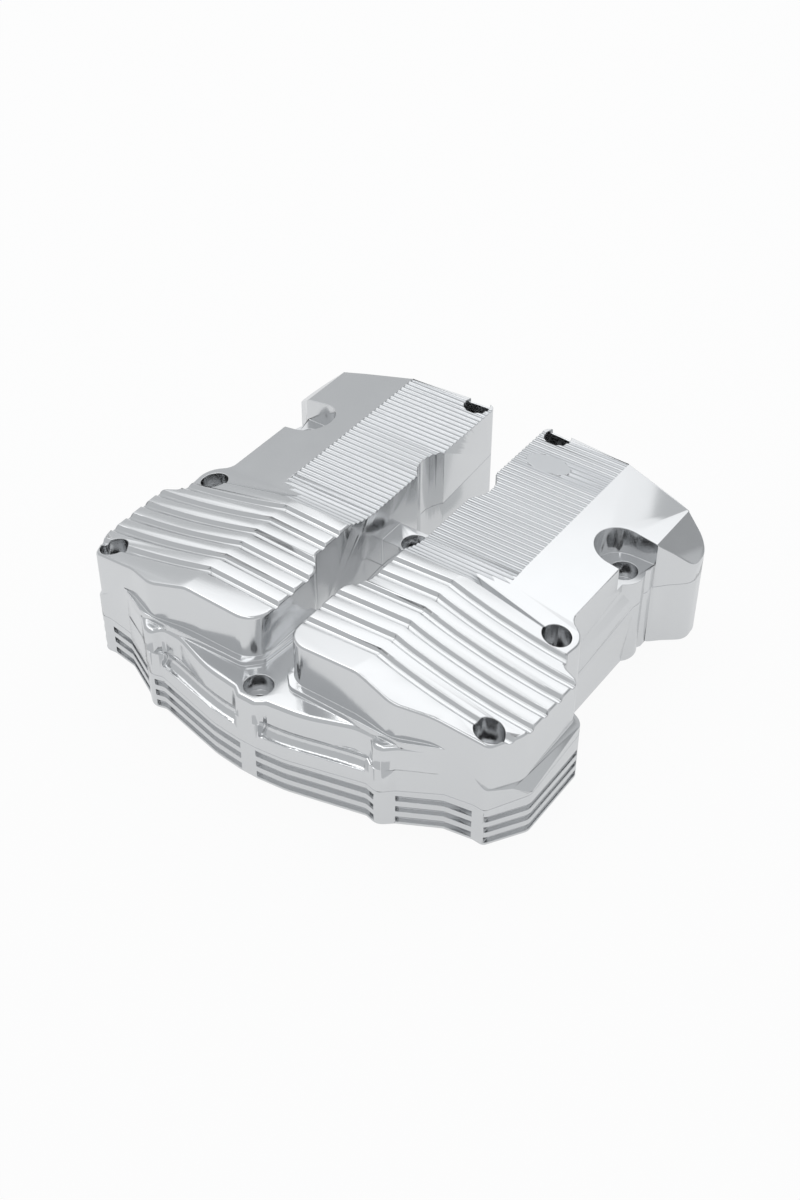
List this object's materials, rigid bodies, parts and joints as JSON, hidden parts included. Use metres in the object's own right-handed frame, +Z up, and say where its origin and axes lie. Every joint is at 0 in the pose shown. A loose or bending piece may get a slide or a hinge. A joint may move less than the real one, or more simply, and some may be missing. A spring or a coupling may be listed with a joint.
{
  "type": "engine valve cover",
  "caption": "Two-lobed engine valve cover with wide cooling ribs, fine-ribbed rear panels and a finned housing below the sloping joint.",
  "frame": {"origin": "middle of the cover's length and width at the level of the seating face", "axes": "+Z up out of the cover, +Y to the back, +X to the right; the YZ plane is the mirror plane"},
  "size_m": [0.2324, 0.2164, 0.0714],
  "materials": {
    "upper_cover": "polished, with fine machining lines on the wide ribs",
    "lower_housing": "polished",
    "seal": "matt moulded cord"
  },
  "bodies": {
    "root": {"upper_cover": "upper_cover", "lower_housing": "lower_housing", "cover_seal_left": "seal", "cover_seal_right": "seal"}
  },
  "joints": []
}
